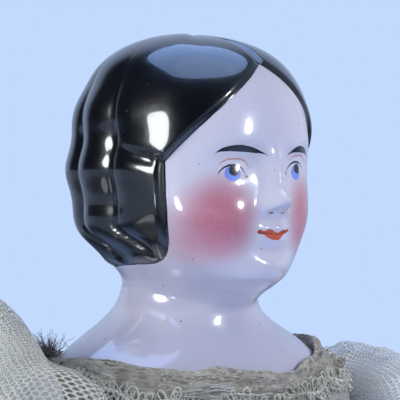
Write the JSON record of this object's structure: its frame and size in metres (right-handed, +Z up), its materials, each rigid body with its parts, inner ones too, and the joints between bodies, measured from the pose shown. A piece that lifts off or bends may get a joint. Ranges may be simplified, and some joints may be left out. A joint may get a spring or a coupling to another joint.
{
  "type": "china shoulder head doll",
  "caption": "Glazed china shoulder head doll with a stuffed cloth body, china limbs on sewn joints, net sleeves and a bell skirt it stands on.",
  "frame": {"origin": "centre of the bounding box's base, on the surface that the skirt's hem stands on", "axes": "+Z up along the doll's height, -Y the way the doll faces, +X to the doll's left"},
  "size_m": [0.316, 0.304, 0.56],
  "materials": {
    "china": "glazed white china, cool white, painted hair and features",
    "muslin": "unbleached muslin, aged",
    "thread": "waxed linen thread",
    "crape": "crinkled taupe crape with brown stains",
    "net": "coarse cotton net, greyed cream",
    "braid": "looped cotton braid",
    "cotton": "plain white cotton, yellowed",
    "button": "small white china button"
  },
  "bodies": {
    "doll": {"shoulder_head": "china", "torso": "muslin", "sew_tie_front_left": "thread", "sew_tie_front_right": "thread", "sew_tie_back_left": "thread", "sew_tie_back_right": "thread", "bodice_front": "crape", "bodice_back_left": "crape", "bodice_back_right": "crape", "back_button_1": "button", "back_button_2": "button", "back_button_3": "button", "back_button_4": "button", "neck_band": "crape", "neck_braid": "braid", "waistband": "crape", "skirt": "crape", "petticoat": "cotton", "drawers_waist": "cotton"},
    "arm_left": {"upper_arm_left": "muslin", "forearm_left": "china", "arm_tie_left": "thread", "sleeve_puff_left": "net", "sleeve_lining_left": "cotton", "sleeve_band_left": "net"},
    "arm_right": {"upper_arm_right": "muslin", "forearm_right": "china", "arm_tie_right": "thread", "sleeve_puff_right": "net", "sleeve_lining_right": "cotton", "sleeve_band_right": "net"},
    "thigh_left": {"thigh_left": "muslin", "drawers_leg_left": "cotton"},
    "thigh_right": {"thigh_right": "muslin", "drawers_leg_right": "cotton"},
    "shin_left": {"knee_left": "muslin", "lower_leg_left": "china", "leg_tie_left": "thread"},
    "shin_right": {"knee_right": "muslin", "lower_leg_right": "china", "leg_tie_right": "thread"}
  },
  "joints": [
    {"name": "shoulder_left", "type": "hinge", "parent": "doll", "child": "arm_left", "pos_m": [0.07, 0, 0.414], "axis": [-1, 0, 0], "range_deg": [-50, 150]},
    {"name": "shoulder_right", "type": "hinge", "parent": "doll", "child": "arm_right", "pos_m": [-0.07, 0, 0.414], "axis": [-1, 0, 0], "range_deg": [-50, 150]},
    {"name": "hip_left", "type": "hinge", "parent": "doll", "child": "thigh_left", "pos_m": [0.022, 0, 0.272], "axis": [-1, 0, 0], "range_deg": [-6, 20]},
    {"name": "hip_right", "type": "hinge", "parent": "doll", "child": "thigh_right", "pos_m": [-0.022, 0, 0.272], "axis": [-1, 0, 0], "range_deg": [-6, 20]},
    {"name": "knee_left", "type": "hinge", "parent": "thigh_left", "child": "shin_left", "pos_m": [0.022, 0, 0.15], "axis": [1, 0, 0], "range_deg": [0, 35]},
    {"name": "knee_right", "type": "hinge", "parent": "thigh_right", "child": "shin_right", "pos_m": [-0.022, 0, 0.15], "axis": [1, 0, 0], "range_deg": [0, 35]}
  ]
}
